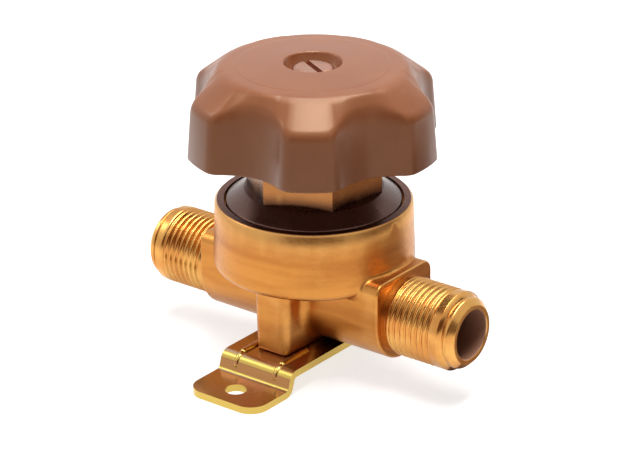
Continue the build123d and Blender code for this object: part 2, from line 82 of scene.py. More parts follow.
def addObject(name, mesh, body):
    piece = bpy.data.objects.new(name, mesh)
    bpy.context.scene.collection.objects.link(piece)
    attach(piece, body)
    return piece


def meshFrom(name, vertices, faces, smooth=True):
    mesh = bpy.data.meshes.new(name)
    mesh.from_pydata([tuple(v) for v in vertices], [], faces)
    mesh.validate()
    for face in mesh.polygons:
        face.use_smooth = smooth
    mesh.update()
    return mesh


def closeMesh(mesh):
    # fills open ends and turns every face outward
    form = bmesh.new()
    form.from_mesh(mesh)
    openEdges = [edge for edge in form.edges if edge.is_boundary]
    if openEdges:
        bmesh.ops.holes_fill(form, edges=openEdges, sides=0)
    bmesh.ops.recalc_face_normals(form, faces=form.faces)
    form.to_mesh(mesh)
    form.free()


def bakeModifiers(piece):
    # the piece's modifiers become its mesh
    bpy.context.view_layer.update()
    shape = bpy.data.meshes.new_from_object(piece.evaluated_get(bpy.context.evaluated_depsgraph_get()))
    piece.modifiers.clear()
    piece.data = shape
    return shape


def cutWith(piece, helper, operation):
    cut = piece.modifiers.new(helper.name, "BOOLEAN")
    cut.operation = operation
    cut.solver = "EXACT"
    cut.object = helper


def gridMesh(name, rows, closedRows=False):
    # rows of equally many points, each row a ring closed on itself
    count = len(rows[0])
    vertices = [point for row in rows for point in row]
    faces = []
    last = len(rows) if closedRows else len(rows) - 1
    for i in range(last):
        low, high = i * count, ((i + 1) % len(rows)) * count
        for j in range(count):
            k = (j + 1) % count
            faces.append((low + j, low + k, high + k, high + j))
    return meshFrom(name, vertices, faces)


def quadraticArc(first, corner, last, steps):
    # from first to last, pulled toward the corner between them
    arc = []
    for index in range(steps + 1):
        share = index / steps
        arc.append((1 - share) ** 2 * first + 2 * share * (1 - share) * corner + share ** 2 * last)
    return arc


def roundedPath(points, radii, steps):
    # a path through points whose corners are arcs; radii has one entry for each inner corner
    path = [Vector(points[0])]
    for i in range(1, len(points) - 1):
        corner, radius = Vector(points[i]), radii[i - 1]
        before = Vector(points[i - 1]) - corner
        after = Vector(points[i + 1]) - corner
        if radius <= 0:
            path.append(corner)
            continue
        half = before.angle(after) / 2
        reach = min(radius / math.tan(half), 0.49 * before.length, 0.49 * after.length)
        first, last = corner + before.normalized() * reach, corner + after.normalized() * reach
        path += quadraticArc(first, corner, last, steps)
    path.append(Vector(points[-1]))
    return path


def newGroup(name, inputs, outputs):
    # a shader node group with named inputs [(kind, name, value)] and outputs [(kind, name)]
    tree = bpy.data.node_groups.new(name, "ShaderNodeTree")
    for kind, label, value in inputs:
        socket = tree.interface.new_socket(label, in_out="INPUT", socket_type="NodeSocket" + kind)
        socket.default_value = value
    for kind, label in outputs:
        tree.interface.new_socket(label, in_out="OUTPUT", socket_type="NodeSocket" + kind)
    return tree, tree.nodes.new("NodeGroupInput"), tree.nodes.new("NodeGroupOutput")


class Wiring:
    # short words for making and joining nodes in one tree
    def __init__(self, tree):
        self.tree = tree

    def add(self, kind, **values):
        node = self.tree.nodes.new("ShaderNode" + kind)
        for key, value in values.items():
            setattr(node, key, value)
        return node

    def join(self, source, target):
        self.tree.links.new(source, target)

    def feed(self, socket, value):
        if isinstance(value, bpy.types.NodeSocket):
            self.join(value, socket)
        else:
            socket.default_value = value

    def maths(self, operation, first, second=0.0):
        node = self.add("Math", operation=operation)
        self.feed(node.inputs[0], first)
        self.feed(node.inputs[1], second)
        return node.outputs[0]

    def spread(self, value, fromLow, fromHigh, toLow=0.0, toHigh=1.0):
        node = self.add("MapRange", interpolation_type="SMOOTHSTEP")
        for socket, number in zip(node.inputs, (value, fromLow, fromHigh, toLow, toHigh)):
            self.feed(socket, number)
        return node.outputs[0]

    def noise(self, place, scale, detail=3.0, roughness=0.55):
        node = self.add("TexNoise")
        self.join(place, node.inputs["Vector"])
        self.feed(node.inputs["Scale"], scale)
        self.feed(node.inputs["Detail"], detail)
        self.feed(node.inputs["Roughness"], roughness)
        return node.outputs["Fac"]

    def stretched(self, place, scale):
        # coordinates scaled by a different amount along each axis
        node = self.add("VectorMath", operation="MULTIPLY")
        self.join(place, node.inputs[0])
        node.inputs[1].default_value = scale
        return node.outputs[0]

    def height(self):
        # height above the floor at rest, from the piece's own coordinates
        split = self.add("SeparateXYZ")
        self.join(self.add("TexCoord").outputs["Object"], split.inputs[0])
        return split.outputs[2]

    def blendColour(self, amount, first, second):
        node = self.add("Mix", data_type="RGBA")
        self.feed(node.inputs[0], amount)
        self.feed(node.inputs[6], first if isinstance(first, bpy.types.NodeSocket) else (*first, 1))
        self.feed(node.inputs[7], second if isinstance(second, bpy.types.NodeSocket) else (*second, 1))
        return node.outputs[2]

    def group(self, tree, **values):
        node = self.add("Group")
        node.node_tree = tree
        for key, value in values.items():
            self.feed(node.inputs[key], value)
        return node


def newMaterial(name):
    material = bpy.data.materials.new(name)
    material.use_nodes = True
    return material, Wiring(material.node_tree), material.node_tree.nodes["Principled BSDF"]


def wear(piece, material):
    piece.data.materials.clear()
    piece.data.materials.append(material)


def makeGrainGroup():
    # cast or moulded skin: fine pits, broad unevenness, and their masks
    tree, start, end = newGroup("skinGrain", [
        ("Float", "fineSize", 0.0004), ("Float", "broadSize", 0.006),
        ("Float", "fineDepth", 0.5), ("Float", "broadDepth", 0.5),
    ], [("Float", "height"), ("Float", "fine"), ("Float", "broad")])
    wire = Wiring(tree)
    place = wire.add("TexCoord").outputs["Object"]
    fine = wire.noise(place, wire.maths("DIVIDE", 1.0, start.outputs["fineSize"]), 2.0, 0.6)
    broad = wire.noise(place, wire.maths("DIVIDE", 1.0, start.outputs["broadSize"]), 3.0, 0.5)
    height = wire.maths("ADD", wire.maths("MULTIPLY", fine, start.outputs["fineDepth"]),
                     wire.maths("MULTIPLY", broad, start.outputs["broadDepth"]))
    wire.join(height, end.inputs["height"])
    wire.join(fine, end.inputs["fine"])
    wire.join(broad, end.inputs["broad"])
    return tree


def makeTurningGroup():
    # fine tool lines round an axis: X for the flare ends, Z for what turns about the spindle
    tree, start, end = newGroup("turningLines", [
        ("Float", "spacing", 0.00025), ("Vector", "along", (1.0, 0.0, 0.0)), ("Float", "waver", 0.3),
    ], [("Float", "height")])
    wire = Wiring(tree)
    place = wire.add("TexCoord").outputs["Object"]
    dot = wire.add("VectorMath", operation="DOT_PRODUCT")
    wire.join(place, dot.inputs[0])
    wire.join(start.outputs["along"], dot.inputs[1])
    drift = wire.maths("MULTIPLY", wire.noise(place, 900.0), start.outputs["waver"])
    turns = wire.maths("DIVIDE", dot.outputs["Value"], start.outputs["spacing"])
    wave = wire.maths("SINE", wire.maths("ADD", wire.maths("MULTIPLY", turns, 2 * math.pi), drift))
    wire.join(wire.maths("MULTIPLY_ADD", wave, 0.5), end.inputs["height"])
    return tree


def makeFacingGroup():
    # concentric tool lines on a faced surface, centred on the spindle axis
    tree, start, end = newGroup("facingLines", [("Float", "spacing", 0.0004)], [("Float", "height")])
    wire = Wiring(tree)
    split = wire.add("SeparateXYZ")
    wire.join(wire.add("TexCoord").outputs["Object"], split.inputs[0])
    squares = wire.maths("ADD", wire.maths("MULTIPLY", split.outputs[0], split.outputs[0]),
                      wire.maths("MULTIPLY", split.outputs[1], split.outputs[1]))
    turns = wire.maths("DIVIDE", wire.maths("SQRT", squares), start.outputs["spacing"])
    wire.join(wire.maths("SINE", wire.maths("MULTIPLY", turns, 2 * math.pi)), end.inputs["height"])
    return tree


def makeEdgeGroup():
    # edge mask from the mesh's own curvature: bright where a corner stands out, dark where it is sunk
    tree, start, end = newGroup("edgeWear", [
        ("Float", "low", 0.5), ("Float", "high", 0.6),
    ], [("Float", "edges"), ("Float", "hollows")])
    wire = Wiring(tree)
    point = wire.add("NewGeometry").outputs["Pointiness"]
    wire.join(wire.spread(point, start.outputs["low"], start.outputs["high"]), end.inputs["edges"])
    wire.join(wire.spread(point, 0.5, 0.42), end.inputs["hollows"])
    return tree


skinGrain = makeGrainGroup()
turningLines = makeTurningGroup()
facingLines = makeFacingGroup()
edgeWear = makeEdgeGroup()


def bumpFrom(wire, height, shader, distance):
    bump = wire.add("Bump")
    bump.inputs["Strength"].default_value = 1.0
    bump.inputs["Distance"].default_value = distance
    wire.join(height, bump.inputs["Height"])
    wire.join(bump.outputs["Normal"], shader.inputs["Normal"])


def makeForgedBrass():
    look = {
        "colour": (0.53, 0.220, 0.048),
        "paler": (0.70, 0.38, 0.12),
        "stain": (0.42, 0.155, 0.034),
        "paintedDarkReflection": (0.145, 0.050, 0.028),    # painted dark reflection on the faced rim of the cup, for the dark surroundings it mirrors
        "rimDepth": 0.00022,
        "roughness": (0.30, 0.40),
        "fineSize": 0.0009,
        "broadSize": 0.016,
        "streak": (26.0, 26.0, 190.0),
        "bump": 0.000012,
    }
    material, wire, shader = newMaterial("forgedBrass")
    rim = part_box("valve_body")[1][2]
    grain = wire.group(skinGrain, fineSize=look["fineSize"], broadSize=look["broadSize"],
                    fineDepth=0.35, broadDepth=0.8)
    worn = wire.group(edgeWear, low=0.505, high=0.56)
    place = wire.add("TexCoord").outputs["Object"]
    streaks = wire.noise(wire.stretched(place, look["streak"]), 1.0, 3.0, 0.5)
    tone = wire.blendColour(wire.spread(streaks, 0.34, 0.62), look["stain"], look["colour"])
    cloudy = wire.maths("MULTIPLY", wire.spread(grain.outputs["broad"], 0.52, 0.72), 0.35)
    tone = wire.blendColour(cloudy, tone, look["paler"])
    tone = wire.blendColour(wire.maths("MULTIPLY", worn.outputs["edges"], 0.7), tone, look["paler"])
    tone = wire.blendColour(wire.maths("MULTIPLY", worn.outputs["hollows"], 0.5), tone, look["stain"])
    # painted dark reflection: the faced rim of the cup is coloured dark
    faced = wire.spread(wire.height(), rim - look["rimDepth"], rim - 0.3 * look["rimDepth"])
    wire.join(wire.blendColour(faced, tone, look["paintedDarkReflection"]), shader.inputs["Base Color"])
    wire.join(wire.spread(grain.outputs["fine"], 0.3, 0.7, *look["roughness"]), shader.inputs["Roughness"])
    shader.inputs["Metallic"].default_value = 1.0
    bumpFrom(wire, grain.outputs["height"], shader, look["bump"])
    return material


def makeMachinedBrass(name, along, spacing=0.0009):
    look = {
        "colour": (0.68, 0.36, 0.10),
        "warm": (0.56, 0.24, 0.060),
        "bore": (0.40, 0.20, 0.125),    # darker and not metallic inside the drilled ports
        "boreEdge": 0.00695,
        "roughness": (0.20, 0.26),
        "toolMarks": 0.15,
        "bump": 0.000003,
    }
    material, wire, shader = newMaterial(name)
    lines = wire.group(turningLines, spacing=spacing, along=along, waver=0.4)
    grain = wire.group(skinGrain, fineSize=0.0010, broadSize=0.008, fineDepth=0.2, broadDepth=0.8)
    tone = wire.blendColour(wire.spread(grain.outputs["broad"], 0.35, 0.65), look["warm"], look["colour"])
    marks = wire.maths("MULTIPLY", lines.outputs["height"], look["toolMarks"])
    tone = wire.blendColour(marks, tone, look["warm"])
    if name == "portBrass":
        place = wire.add("SeparateXYZ")
        wire.join(wire.add("TexCoord").outputs["Object"], place.inputs[0])
        up = wire.maths("SUBTRACT", place.outputs[2], mounts["inlet_thread"]["pos_m"][2])
        reach = wire.maths("SQRT", wire.maths("ADD", wire.maths("MULTIPLY", up, up),
                                        wire.maths("MULTIPLY", place.outputs[1], place.outputs[1])))
        outside = wire.spread(reach, look["boreEdge"], look["boreEdge"] + 0.0002)
        tone = wire.blendColour(outside, look["bore"], tone)
        wire.join(outside, shader.inputs["Metallic"])
    else:
        shader.inputs["Metallic"].default_value = 1.0
    wire.join(tone, shader.inputs["Base Color"])
    wire.join(wire.spread(grain.outputs["broad"], 0.3, 0.7, *look["roughness"]), shader.inputs["Roughness"])
    bumpFrom(wire, grain.outputs["height"], shader, look["bump"])
    return material


def makeBonnetBrass():
    look = {
        # painted shade: the bonnet's brass is darker than the other brass, for the wheel's shadow and dark
        # underside above it
        "colour": (0.34, 0.140, 0.045),
        # painted shade at the hexagon's foot, fading out over footFade
        "footShade": (0.105, 0.042, 0.022),
        "footFade": 0.0045,
        "paler": (0.50, 0.24, 0.085),
        "paintedDarkReflection": (0.150, 0.062, 0.042),    # painted shade and dark reflection of the wheel above: the flange, below the hexagon
        # less metal on the flange, so that its painted shade shows
        "flangeMetal": 0.45,
        "hexHeight": 0.00955,
        "roughness": (0.24, 0.34),
        "bump": 0.000002,
    }
    material, wire, shader = newMaterial("bonnetBrass")
    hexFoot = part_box("bonnet")[1][2] - look["hexHeight"]
    lines = wire.group(facingLines, spacing=0.0005)
    grain = wire.group(skinGrain, fineSize=0.0004, broadSize=0.007, fineDepth=0.5, broadDepth=0.5)
    # painted shade: the hexagon darkens towards its foot on the flange
    fade = wire.spread(wire.height(), hexFoot, hexFoot + look["footFade"])
    tone = wire.blendColour(fade, look["footShade"], look["colour"])
    tone = wire.blendColour(wire.spread(grain.outputs["broad"], 0.5, 0.8), tone, look["paler"])
    # painted shade and dark reflection: the flange below the hexagon is coloured dark and made less metallic
    above = wire.spread(wire.height(), hexFoot + 0.00003, hexFoot + 0.0002)
    tone = wire.blendColour(above, look["paintedDarkReflection"], tone)
    wire.join(wire.spread(above, 0, 1, look["flangeMetal"], 1.0), shader.inputs["Metallic"])
    wire.join(tone, shader.inputs["Base Color"])
    wire.join(wire.spread(grain.outputs["broad"], 0.3, 0.7, *look["roughness"]), shader.inputs["Roughness"])
    onFlange = wire.maths("SUBTRACT", 1.0, fade)
    bumpFrom(wire, wire.maths("MULTIPLY", lines.outputs["height"], onFlange), shader, look["bump"])
    return material


def makeWheelPlastic():
    look = {
        "colour": (0.205, 0.066, 0.026),
        "paler": (0.230, 0.080, 0.034),
        "roughness": (0.28, 0.34),
        "sheenOfLight": (1.0, 0.74, 0.50),  # the moulded skin's own warm gloss
        "gloss": 0.70,
        "indexOfGloss": 1.38,
        "coat": 0.03,
        "coatRoughness": 0.12,
        "bump": 0.000012,
    }
    material, wire, shader = newMaterial("wheelPlastic")
    grain = wire.group(skinGrain, fineSize=0.0012, broadSize=0.010, fineDepth=0.1, broadDepth=0.8)
    tone = wire.blendColour(wire.spread(grain.outputs["broad"], 0.4, 0.8), look["colour"], look["paler"])
    wire.join(tone, shader.inputs["Base Color"])
    wire.join(wire.spread(grain.outputs["broad"], 0.3, 0.7, *look["roughness"]), shader.inputs["Roughness"])
    shader.inputs["Specular IOR Level"].default_value = look["gloss"]
    shader.inputs["Specular Tint"].default_value = (*look["sheenOfLight"], 1)
    shader.inputs["IOR"].default_value = look["indexOfGloss"]
    shader.inputs["Coat Weight"].default_value = look["coat"]
    shader.inputs["Coat Roughness"].default_value = look["coatRoughness"]
    bumpFrom(wire, grain.outputs["height"], shader, look["bump"])
    return material


def makeYellowZinc():
    look = {
        # painted highlight for the bends and edges
        "highlightGold": (0.60, 0.42, 0.10),
        "green": (0.42, 0.33, 0.15),
        "red": (0.48, 0.34, 0.22),
        "rose": (0.49, 0.32, 0.25),
        # painted dark reflection on the riser's face
        "riser": (0.42, 0.20, 0.075),
        "riserLean": 0.32,          # how far the riser's face looks upward, between its bends with painted highlight
        "roughness": (0.18, 0.28),
        "patch": 0.018,
        "bump": 0.000004,
    }
    material, wire, shader = newMaterial("yellowZinc")
    grain = wire.group(skinGrain, fineSize=0.0016, broadSize=look["patch"], fineDepth=0.1, broadDepth=0.8)
    place = wire.add("TexCoord").outputs["Object"]
    second = wire.noise(place, 1 / (0.7 * look["patch"]), 2.0)
    up = wire.add("SeparateXYZ")
    wire.join(wire.add("NewGeometry").outputs["Normal"], up.inputs[0])
    tone = wire.blendColour(wire.spread(grain.outputs["broad"], 0.36, 0.60), look["red"], look["rose"])
    tone = wire.blendColour(wire.spread(second, 0.50, 0.72), tone, look["green"])
    lean = wire.maths("ABSOLUTE", wire.maths("SUBTRACT", up.outputs[2], look["riserLean"]))
    # painted highlight: every face that doesn't look straight up, the bends and edges, is coloured bright
    # gold
    tone = wire.blendColour(wire.spread(up.outputs[2], 0.96, 0.80), tone, look["highlightGold"])
    # painted dark reflection: the riser's face, picked by how far it looks upward, is coloured dark brown
    tone = wire.blendColour(wire.spread(lean, 0.22, 0.08), tone, look["riser"])
    wire.join(tone, shader.inputs["Base Color"])
    wire.join(wire.spread(grain.outputs["broad"], 0.3, 0.7, *look["roughness"]), shader.inputs["Roughness"])
    shader.inputs["Metallic"].default_value = 1.0
    bumpFrom(wire, grain.outputs["height"], shader, look["bump"])
    return material


def makeSteel(name, colour, roughness):
    material, wire, shader = newMaterial(name)
    grain = wire.group(skinGrain, fineSize=0.0008, broadSize=0.004, fineDepth=0.1, broadDepth=0.6)
    darker = tuple(0.8 * channel for channel in colour)
    wire.join(wire.blendColour(grain.outputs["broad"], darker, colour), shader.inputs["Base Color"])
    varied = wire.spread(grain.outputs["broad"], 0.3, 0.7, roughness, roughness + 0.08)
    wire.join(varied, shader.inputs["Roughness"])
    shader.inputs["Metallic"].default_value = 1.0
    bumpFrom(wire, grain.outputs["height"], shader, 0.000003)
    return material


def makeSoft(name, colour, roughness):
    material, wire, shader = newMaterial(name)
    grain = wire.group(skinGrain, fineSize=0.0004, broadSize=0.004, fineDepth=0.5, broadDepth=0.4)
    darker = tuple(0.8 * channel for channel in colour)
    wire.join(wire.blendColour(grain.outputs["broad"], darker, colour), shader.inputs["Base Color"])
    varied = wire.spread(grain.outputs["fine"], 0.3, 0.7, roughness, roughness + 0.1)
    wire.join(varied, shader.inputs["Roughness"])
    bumpFrom(wire, grain.outputs["height"], shader, 0.00001)
    return material


forgedBrass = makeForgedBrass()
portBrass = makeMachinedBrass("portBrass", (1.0, 0.0, 0.0))
turnedBrass = makeMachinedBrass("turnedBrass", (0.0, 0.0, 1.0))
bonnetBrass = makeBonnetBrass()
wheelPlastic = makeWheelPlastic()
yellowZinc = makeYellowZinc()
stainless = makeSteel("stainless", (0.55, 0.54, 0.52), 0.22)
screwSteel = makeSteel("screwSteel", (0.50, 0.25, 0.17), 0.24)
zincSteel = makeSteel("zincSteel", (0.50, 0.45, 0.30), 0.28)
seatNylon = makeSoft("seatNylon", (0.75, 0.73, 0.66), 0.4)
sealRubber = makeSoft("sealRubber", (0.03, 0.03, 0.03), 0.5)
print("materials made")


flareEnd = {
    "pitch": 25.4 / 14 * mm,
    "depth": 0.80 * mm,
    "threadStart": 32.2 * mm,   # from the valve's middle
    "threadEnd": 47.4 * mm,
    "startFade": 1.2 * mm,
    "endFade": 1.6 * mm,
    "reliefRadius": 10.5 * mm,
    "chamferStart": 49.2 * mm,
    "noseStart": 50.3 * mm,
    "noseRadius": 9.95 * mm,
    "noseRim": 51.7 * mm,
    "notch": 0.6 * mm,
    "notchLength": 0.45 * mm,
    "lip": 0.35 * mm,
    "bore": 6.88 * mm,
    "inner": 30.4 * mm,         # the end starts inside the forging
    "rounding": (0.25 * mm, 0.25 * mm, 0.6 * mm, 0.3 * mm, 0.12 * mm, 0.15 * mm),
    "ridgePower": 0.8,
    "ringSteps": 192,
    "stationStep": 0.13 * mm,
}


def threadRadius(distance, turn, settings, major):
    # radius of a softly rounded thread at a distance along the end and an angle in turns
    phase = (distance - settings["threadStart"]) / settings["pitch"] - turn
    ridge = 0.5 + 0.5 * math.cos(2 * math.pi * phase)
    start = min(max((distance - settings["threadStart"]) / settings["startFade"], 0.0), 1.0)
    end = min(max((settings["threadEnd"] - distance) / settings["endFade"], 0.0), 1.0)
    cut = settings["depth"] * (1 - ridge ** settings["ridgePower"])
    relief = (major - settings["reliefRadius"]) * (1 - start)
    return major - max(cut * end * start, relief)


def flareProfile(settings, major, tip):
    # (distance, radius, is threaded) down the outside, round the nose and back into the bore
    path = []
    runout, bore, lip = settings["chamferStart"], settings["bore"], settings["lip"]
    distance = settings["inner"]
    while distance < runout:
        path.append((distance, major, True))
        distance += settings["stationStep"]
    rim, nose = settings["noseRim"], settings["noseRadius"]
    step = settings["noseStart"]
    corners = [(runout, major), (step, nose - settings["notch"]), (step + settings["notchLength"], nose),
               (rim, nose), (tip, nose - (tip - rim)), (tip, bore + lip), (tip - lip, bore),
               (settings["inner"], bore)]
    for point in roundedPath(corners, settings["rounding"], 6):
        path.append((point[0], point[1], False))
    return path


def makeFlareEnd(name, side, mount):
    # one threaded end, closed on itself, facing +X for side 1 and -X for side -1
    major = mount["dims"]["r_mm"] * mm
    axisHeight = mount["pos_m"][2]
    settings = flareEnd
    rows = []
    for distance, radius, threaded in flareProfile(settings, major, cadBox[1][0]):
        row = []
        for step in range(settings["ringSteps"]):
            turn = step / settings["ringSteps"]
            size = threadRadius(distance, turn, settings, major) if threaded else radius
            angle = 2 * math.pi * turn
            row.append((side * distance, -side * size * math.cos(angle), axisHeight + size * math.sin(angle)))
        rows.append(row)
    mesh = gridMesh(name, rows, closedRows=True)
    piece = addObject(name, mesh, "body")
    wear(piece, portBrass)
    return piece


inletEnd = makeFlareEnd("inletEnd", 1, mounts["inlet_thread"])
outletEnd = makeFlareEnd("outletEnd", -1, mounts["outlet_thread"])
print("flare ends made")


forging = {
    "blockEnd": 31.0 * mm,      # the blank is cut here and the flare ends carry on
    "cutterWidth": 200 * mm,
    "cutterHeight": 300 * mm,
}


def makeForging():
    source = nodes["valve_body"].data.copy()
    piece = addObject("forgedBody", source, "body")
    bpy.ops.mesh.primitive_cube_add(size=1.0)
    block = bpy.context.active_object
    block.scale = (2 * forging["blockEnd"], forging["cutterWidth"], forging["cutterHeight"])
    cutWith(piece, block, "INTERSECT")
    bakeModifiers(piece)
    bpy.data.objects.remove(block)
    wear(piece, forgedBrass)
    return piece


forgedBody = makeForging()
for piece in (forgedBody, inletEnd, outletEnd):
    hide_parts("valve_body")
print("body made")


bracketBead = {
    "offset": 6.8 * mm,         # each bead's line from the middle of the strip
    "start": 14.0 * mm,
    "platformEdge": 26.15 * mm,
    "platformTop": 7.0 * mm,
    "lean": 1.65 * mm,
    "rise": 4.95 * mm,
    "bend": 3.0 * mm,
    "radius": 1.15 * mm,
    "sunk": 0.70 * mm,          # the bead's middle under the strip's face
    "end": 0.75,                # share of the riser that it runs down
    "station": 0.25 * mm,
    "taper": 1.6 * mm,          # length over which each end rises out of the strip
    "slimEnd": 0.4,             # share of the radius left at the very end
    "ringSteps": 24,
}


def makeBead(name, side, end):
    # pressed bead along the platform, over the bend and down the riser
    settings = bracketBead
    top = settings["platformTop"] - settings["sunk"]
    edge = settings["platformEdge"] - settings["sunk"]
    foot = (edge + settings["lean"] * settings["end"], top - settings["rise"] * settings["end"])
    corners = roundedPath([(settings["start"], top), (edge, top), foot], [settings["bend"]], 12)
    lengths = [(after - before).length for before, after in zip(corners, corners[1:])]
    total = sum(lengths)
    stations = round(total / settings["station"])
    rows = []
    for station in range(stations + 1):
        run = total * station / stations
        left, index = run, 0
        while index < len(lengths) - 1 and left > lengths[index]:
            left -= lengths[index]
            index += 1
        point = corners[index].lerp(corners[index + 1], left / lengths[index])
        along = (corners[index + 1] - corners[index]).normalized()
        rising = min(min(run, total - run) / settings["taper"], 1)
        slim = settings["slimEnd"]
        size = settings["radius"] * (slim + (1 - slim) * math.sin(math.pi / 2 * rising))
        row = []
        for step in range(settings["ringSteps"]):
            turn = 2 * math.pi * step / settings["ringSteps"]
            out = size * math.sin(turn)
            row.append((side * settings["offset"] + size * math.cos(turn),
                        end * (point[0] - along[1] * out), point[1] + along[0] * out))
        rows.append(row)
    mesh = gridMesh(name, rows)
    closeMesh(mesh)
    piece = addObject(name, mesh, "body")
    wear(piece, yellowZinc)


for name, side, end in (("beadFrontOutlet", -1, -1), ("beadFrontInlet", 1, -1),
                        ("beadBackOutlet", -1, 1), ("beadBackInlet", 1, 1)):
    makeBead(name, side, end)
print("beads made")


wheelSkin = {
    "lobes": 6,
    "turn": 6.1,                # degrees, one lobe's direction from +X
    "crest": 36.1 * mm,
    "scallopDepth": 5.7 * mm,
    "scallopRadius": 17.5 * mm,
    "cornerRadius": 5.0 * mm,
    "draft": 4.6,               # degrees
    "plateau": 25.6 * mm,       # the flat top ends here and the shoulder runs out to the lobes
    "plateauFall": 0.85 * mm,
    "lobeCorner": (8.0 * mm, 2.2 * mm, 2.2 * mm),   # shoulder corner's depth, rounding above and below
    "scallopCorner": (5.2 * mm, 2.7 * mm, 4.8 * mm),
    "plateauRound": 9.0 * mm,
    "discRadius": 21.0 * mm,    # the middle of the top stands a hair proud
    "discStep": 0.10 * mm,
    "recess": 7.83 * mm,
    "recessLip": 0.45 * mm,
    "sunk": 0.04 * mm,          # inside the solid's own side and top
    "wall": 2.0 * mm,           # plastic kept under the shoulder
    "linerGap": 0.3 * mm,
    "skirtOverlap": 1.0 * mm,
    "blendStart": 8,            # degrees from a lobe's middle
    "blendLength": 14,
    "discRound": 0.25 * mm,     # half the width of the disc's edge
    "stepRound": 0.4 * mm,
    "lipRound": 0.5 * mm,
    "recessRound": 0.1 * mm,
    "lipRun": 0.1 * mm,
    "innerReach": 6.0 * mm,
    "steps": 600,
    "smoothAngle": 35,
}


def awayFromLobe(angle, settings):
    # angle to the nearest lobe's middle, and the angle between two lobes
    step = 2 * math.pi / settings["lobes"]
    return abs((angle - math.radians(settings["turn"]) + step / 2) % step - step / 2), step


def lobedRadius(angle, inset, settings):
    # distance from the axis to the scalloped outline in one direction, moved in by inset
    away, step = awayFromLobe(angle, settings)
    cornerReach = settings["crest"] - settings["cornerRadius"]
    valleyReach = settings["crest"] - settings["scallopDepth"] + settings["scallopRadius"]
    joined = settings["cornerRadius"] + settings["scallopRadius"]
    share = (cornerReach ** 2 + valleyReach ** 2 - joined ** 2) / (2 * cornerReach * valleyReach)
    cornerAngle = step / 2 - math.acos(share)
    if away <= cornerAngle:
        return settings["crest"] - inset
    corner = cornerReach * Vector((math.cos(cornerAngle), math.sin(cornerAngle)))
    valley = valleyReach * Vector((math.cos(step / 2), math.sin(step / 2)))
    touch = corner + (valley - corner).normalized() * (settings["cornerRadius"] - inset)
    if away <= math.atan2(touch.y, touch.x):
        across = cornerReach * math.sin(away - cornerAngle)
        rounding = settings["cornerRadius"] - inset
        return cornerReach * math.cos(away - cornerAngle) + math.sqrt(max(rounding ** 2 - across ** 2, 0.0))
    across = valleyReach * math.sin(step / 2 - away)
    hollow = settings["scallopRadius"] + inset
    return valleyReach * math.cos(step / 2 - away) - math.sqrt(hollow ** 2 - across ** 2)


def scallopShare(angle, settings):
    # 0 over a lobe, 1 over the middle of a scallop
    away = math.degrees(awayFromLobe(angle, settings)[0])
    share = min(max((away - settings["blendStart"]) / settings["blendLength"], 0.0), 1.0)
    return share * share * (3 - 2 * share)


def wheelColumn(angle, foot, top, settings):
    # one upright section of the skin, from the skirt's foot over the shoulder to the recess
    slope = math.tan(math.radians(settings["draft"]))
    disc, lip = settings["discRadius"], settings["recess"] + settings["recessLip"]
    fall = settings["plateauFall"] / (settings["plateau"] - settings["recess"])
    scalloped = scallopShare(angle, settings)
    pairs = zip(settings["lobeCorner"], settings["scallopCorner"])
    depth, above, below = [lobe + (scallop - lobe) * scalloped for lobe, scallop in pairs]
    shoulder = top - depth
    edge = lobedRadius(angle, (shoulder - foot) * slope + settings["sunk"], settings)
    skirt = lobedRadius(angle, settings["sunk"], settings) + settings["skirtOverlap"] * slope
    start, corner = Vector((skirt, foot - settings["skirtOverlap"])), Vector((edge, shoulder))
    rim = (settings["plateau"], top - settings["plateauFall"] - settings["discStep"])
    last = corner + (Vector(rim) - corner).normalized() * above
    bend = quadraticArc(corner + (start - corner).normalized() * below, corner, last, 12)
    discHeight = top - (disc - settings["recess"]) * fall
    corners = [last, rim, (disc + settings["discRound"], discHeight - settings["discStep"]),
               (disc - settings["discRound"], discHeight)]
    radii = [settings["plateauRound"], settings["stepRound"], settings["stepRound"]]
    for share in (0.25, 0.5, 0.75):
        corners.append((disc + (lip - disc) * share, discHeight + (disc - lip) * share * fall))
        radii.append(0)
    corners += [(lip, discHeight + (disc - lip) * fall),
                (settings["recess"] - settings["lipRun"], top - settings["recessLip"]),
                (settings["innerReach"], top - settings["recessLip"])]
    radii += [settings["lipRound"], settings["recessRound"]]
    return [start] + bend[:-1] + roundedPath(corners, radii, 9), edge


def makeWheel():
    # the outside is lofted from the lobed skirt to the round top; the inside is the solid's own
    settings = wheelSkin
    foot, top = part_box("handwheel")[0][2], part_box("handwheel")[1][2]
    wall, plateau = settings["wall"], settings["plateau"]
    under = top - settings["plateauFall"] - wall
    shoulder = top - settings["lobeCorner"][0]
    columns, liners = [], []
    for step in range(settings["steps"]):
        angle = 2 * math.pi * step / settings["steps"]
        turn = Vector((math.cos(angle), math.sin(angle)))
        path, edge = wheelColumn(angle, foot, top, settings)
        columns.append([(out * turn.x, out * turn.y, height - settings["sunk"]) for out, height in path])
        edge = edge - settings["linerGap"]
        liner = [(edge - wall, shoulder - wall), (edge - wall, shoulder - 0.5 * wall),
                 (plateau - wall, under), (plateau - wall, top + wall),
                 (edge + wall, top + wall), (edge + wall, shoulder - wall)]
        liners.append([(out * turn.x, out * turn.y, height) for out, height in liner])
    skin = gridMesh("wheelSkin", [list(row) for row in zip(*columns)])
    lining = gridMesh("wheelLining", [list(row) for row in zip(*liners)], closedRows=True)
    closeMesh(skin)
    closeMesh(lining)
    piece = addObject("wheel", nodes["handwheel"].data.copy(), "wheel_and_spindle")
    helpers = []
    for mesh, operation in ((lining, "UNION"), (skin, "INTERSECT")):
        helper = bpy.data.objects.new(mesh.name, mesh)
        bpy.context.scene.collection.objects.link(helper)
        cutWith(piece, helper, operation)
        helpers.append(helper)
    shape = bakeModifiers(piece)
    for helper in helpers:
        bpy.data.objects.remove(helper)
    for face in shape.polygons:
        face.use_smooth = True
    shape.set_sharp_from_angle(angle=math.radians(settings["smoothAngle"]))
    wear(piece, wheelPlastic)
    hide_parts("handwheel")
    return piece


wheel = makeWheel()
print("wheel made, faces", len(wheel.data.polygons))


